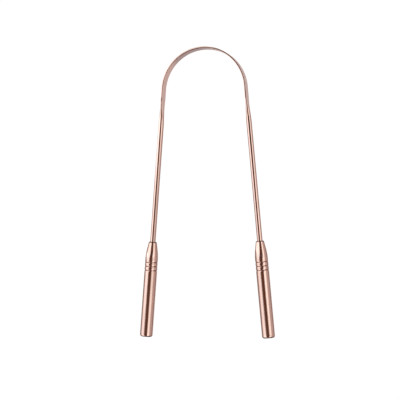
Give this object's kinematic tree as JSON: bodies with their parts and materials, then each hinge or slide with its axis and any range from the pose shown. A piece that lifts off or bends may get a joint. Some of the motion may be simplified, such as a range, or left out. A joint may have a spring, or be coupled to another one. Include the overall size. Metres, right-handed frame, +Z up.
{
  "type": "tongue scraper",
  "caption": "U-shaped copper tongue scraper: a wire rolled flat over its bend, with a turned handle on each end.",
  "frame": {"origin": "under the middle of the bounding box, on the surface that the handles lie on", "axes": "the scraper lies flat: +Y towards the bend, +X towards the right handle, +Z up, square to the plane of the U"},
  "size_m": [0.0718, 0.1502, 0.0066],
  "materials": {
    "loop_copper": "drawn copper wire, rolled and polished",
    "handle_copper": "turned copper bar, polished"
  },
  "bodies": {
    "root": {"scraper_loop": "loop_copper", "left_handle": "handle_copper", "right_handle": "handle_copper"}
  },
  "joints": []
}
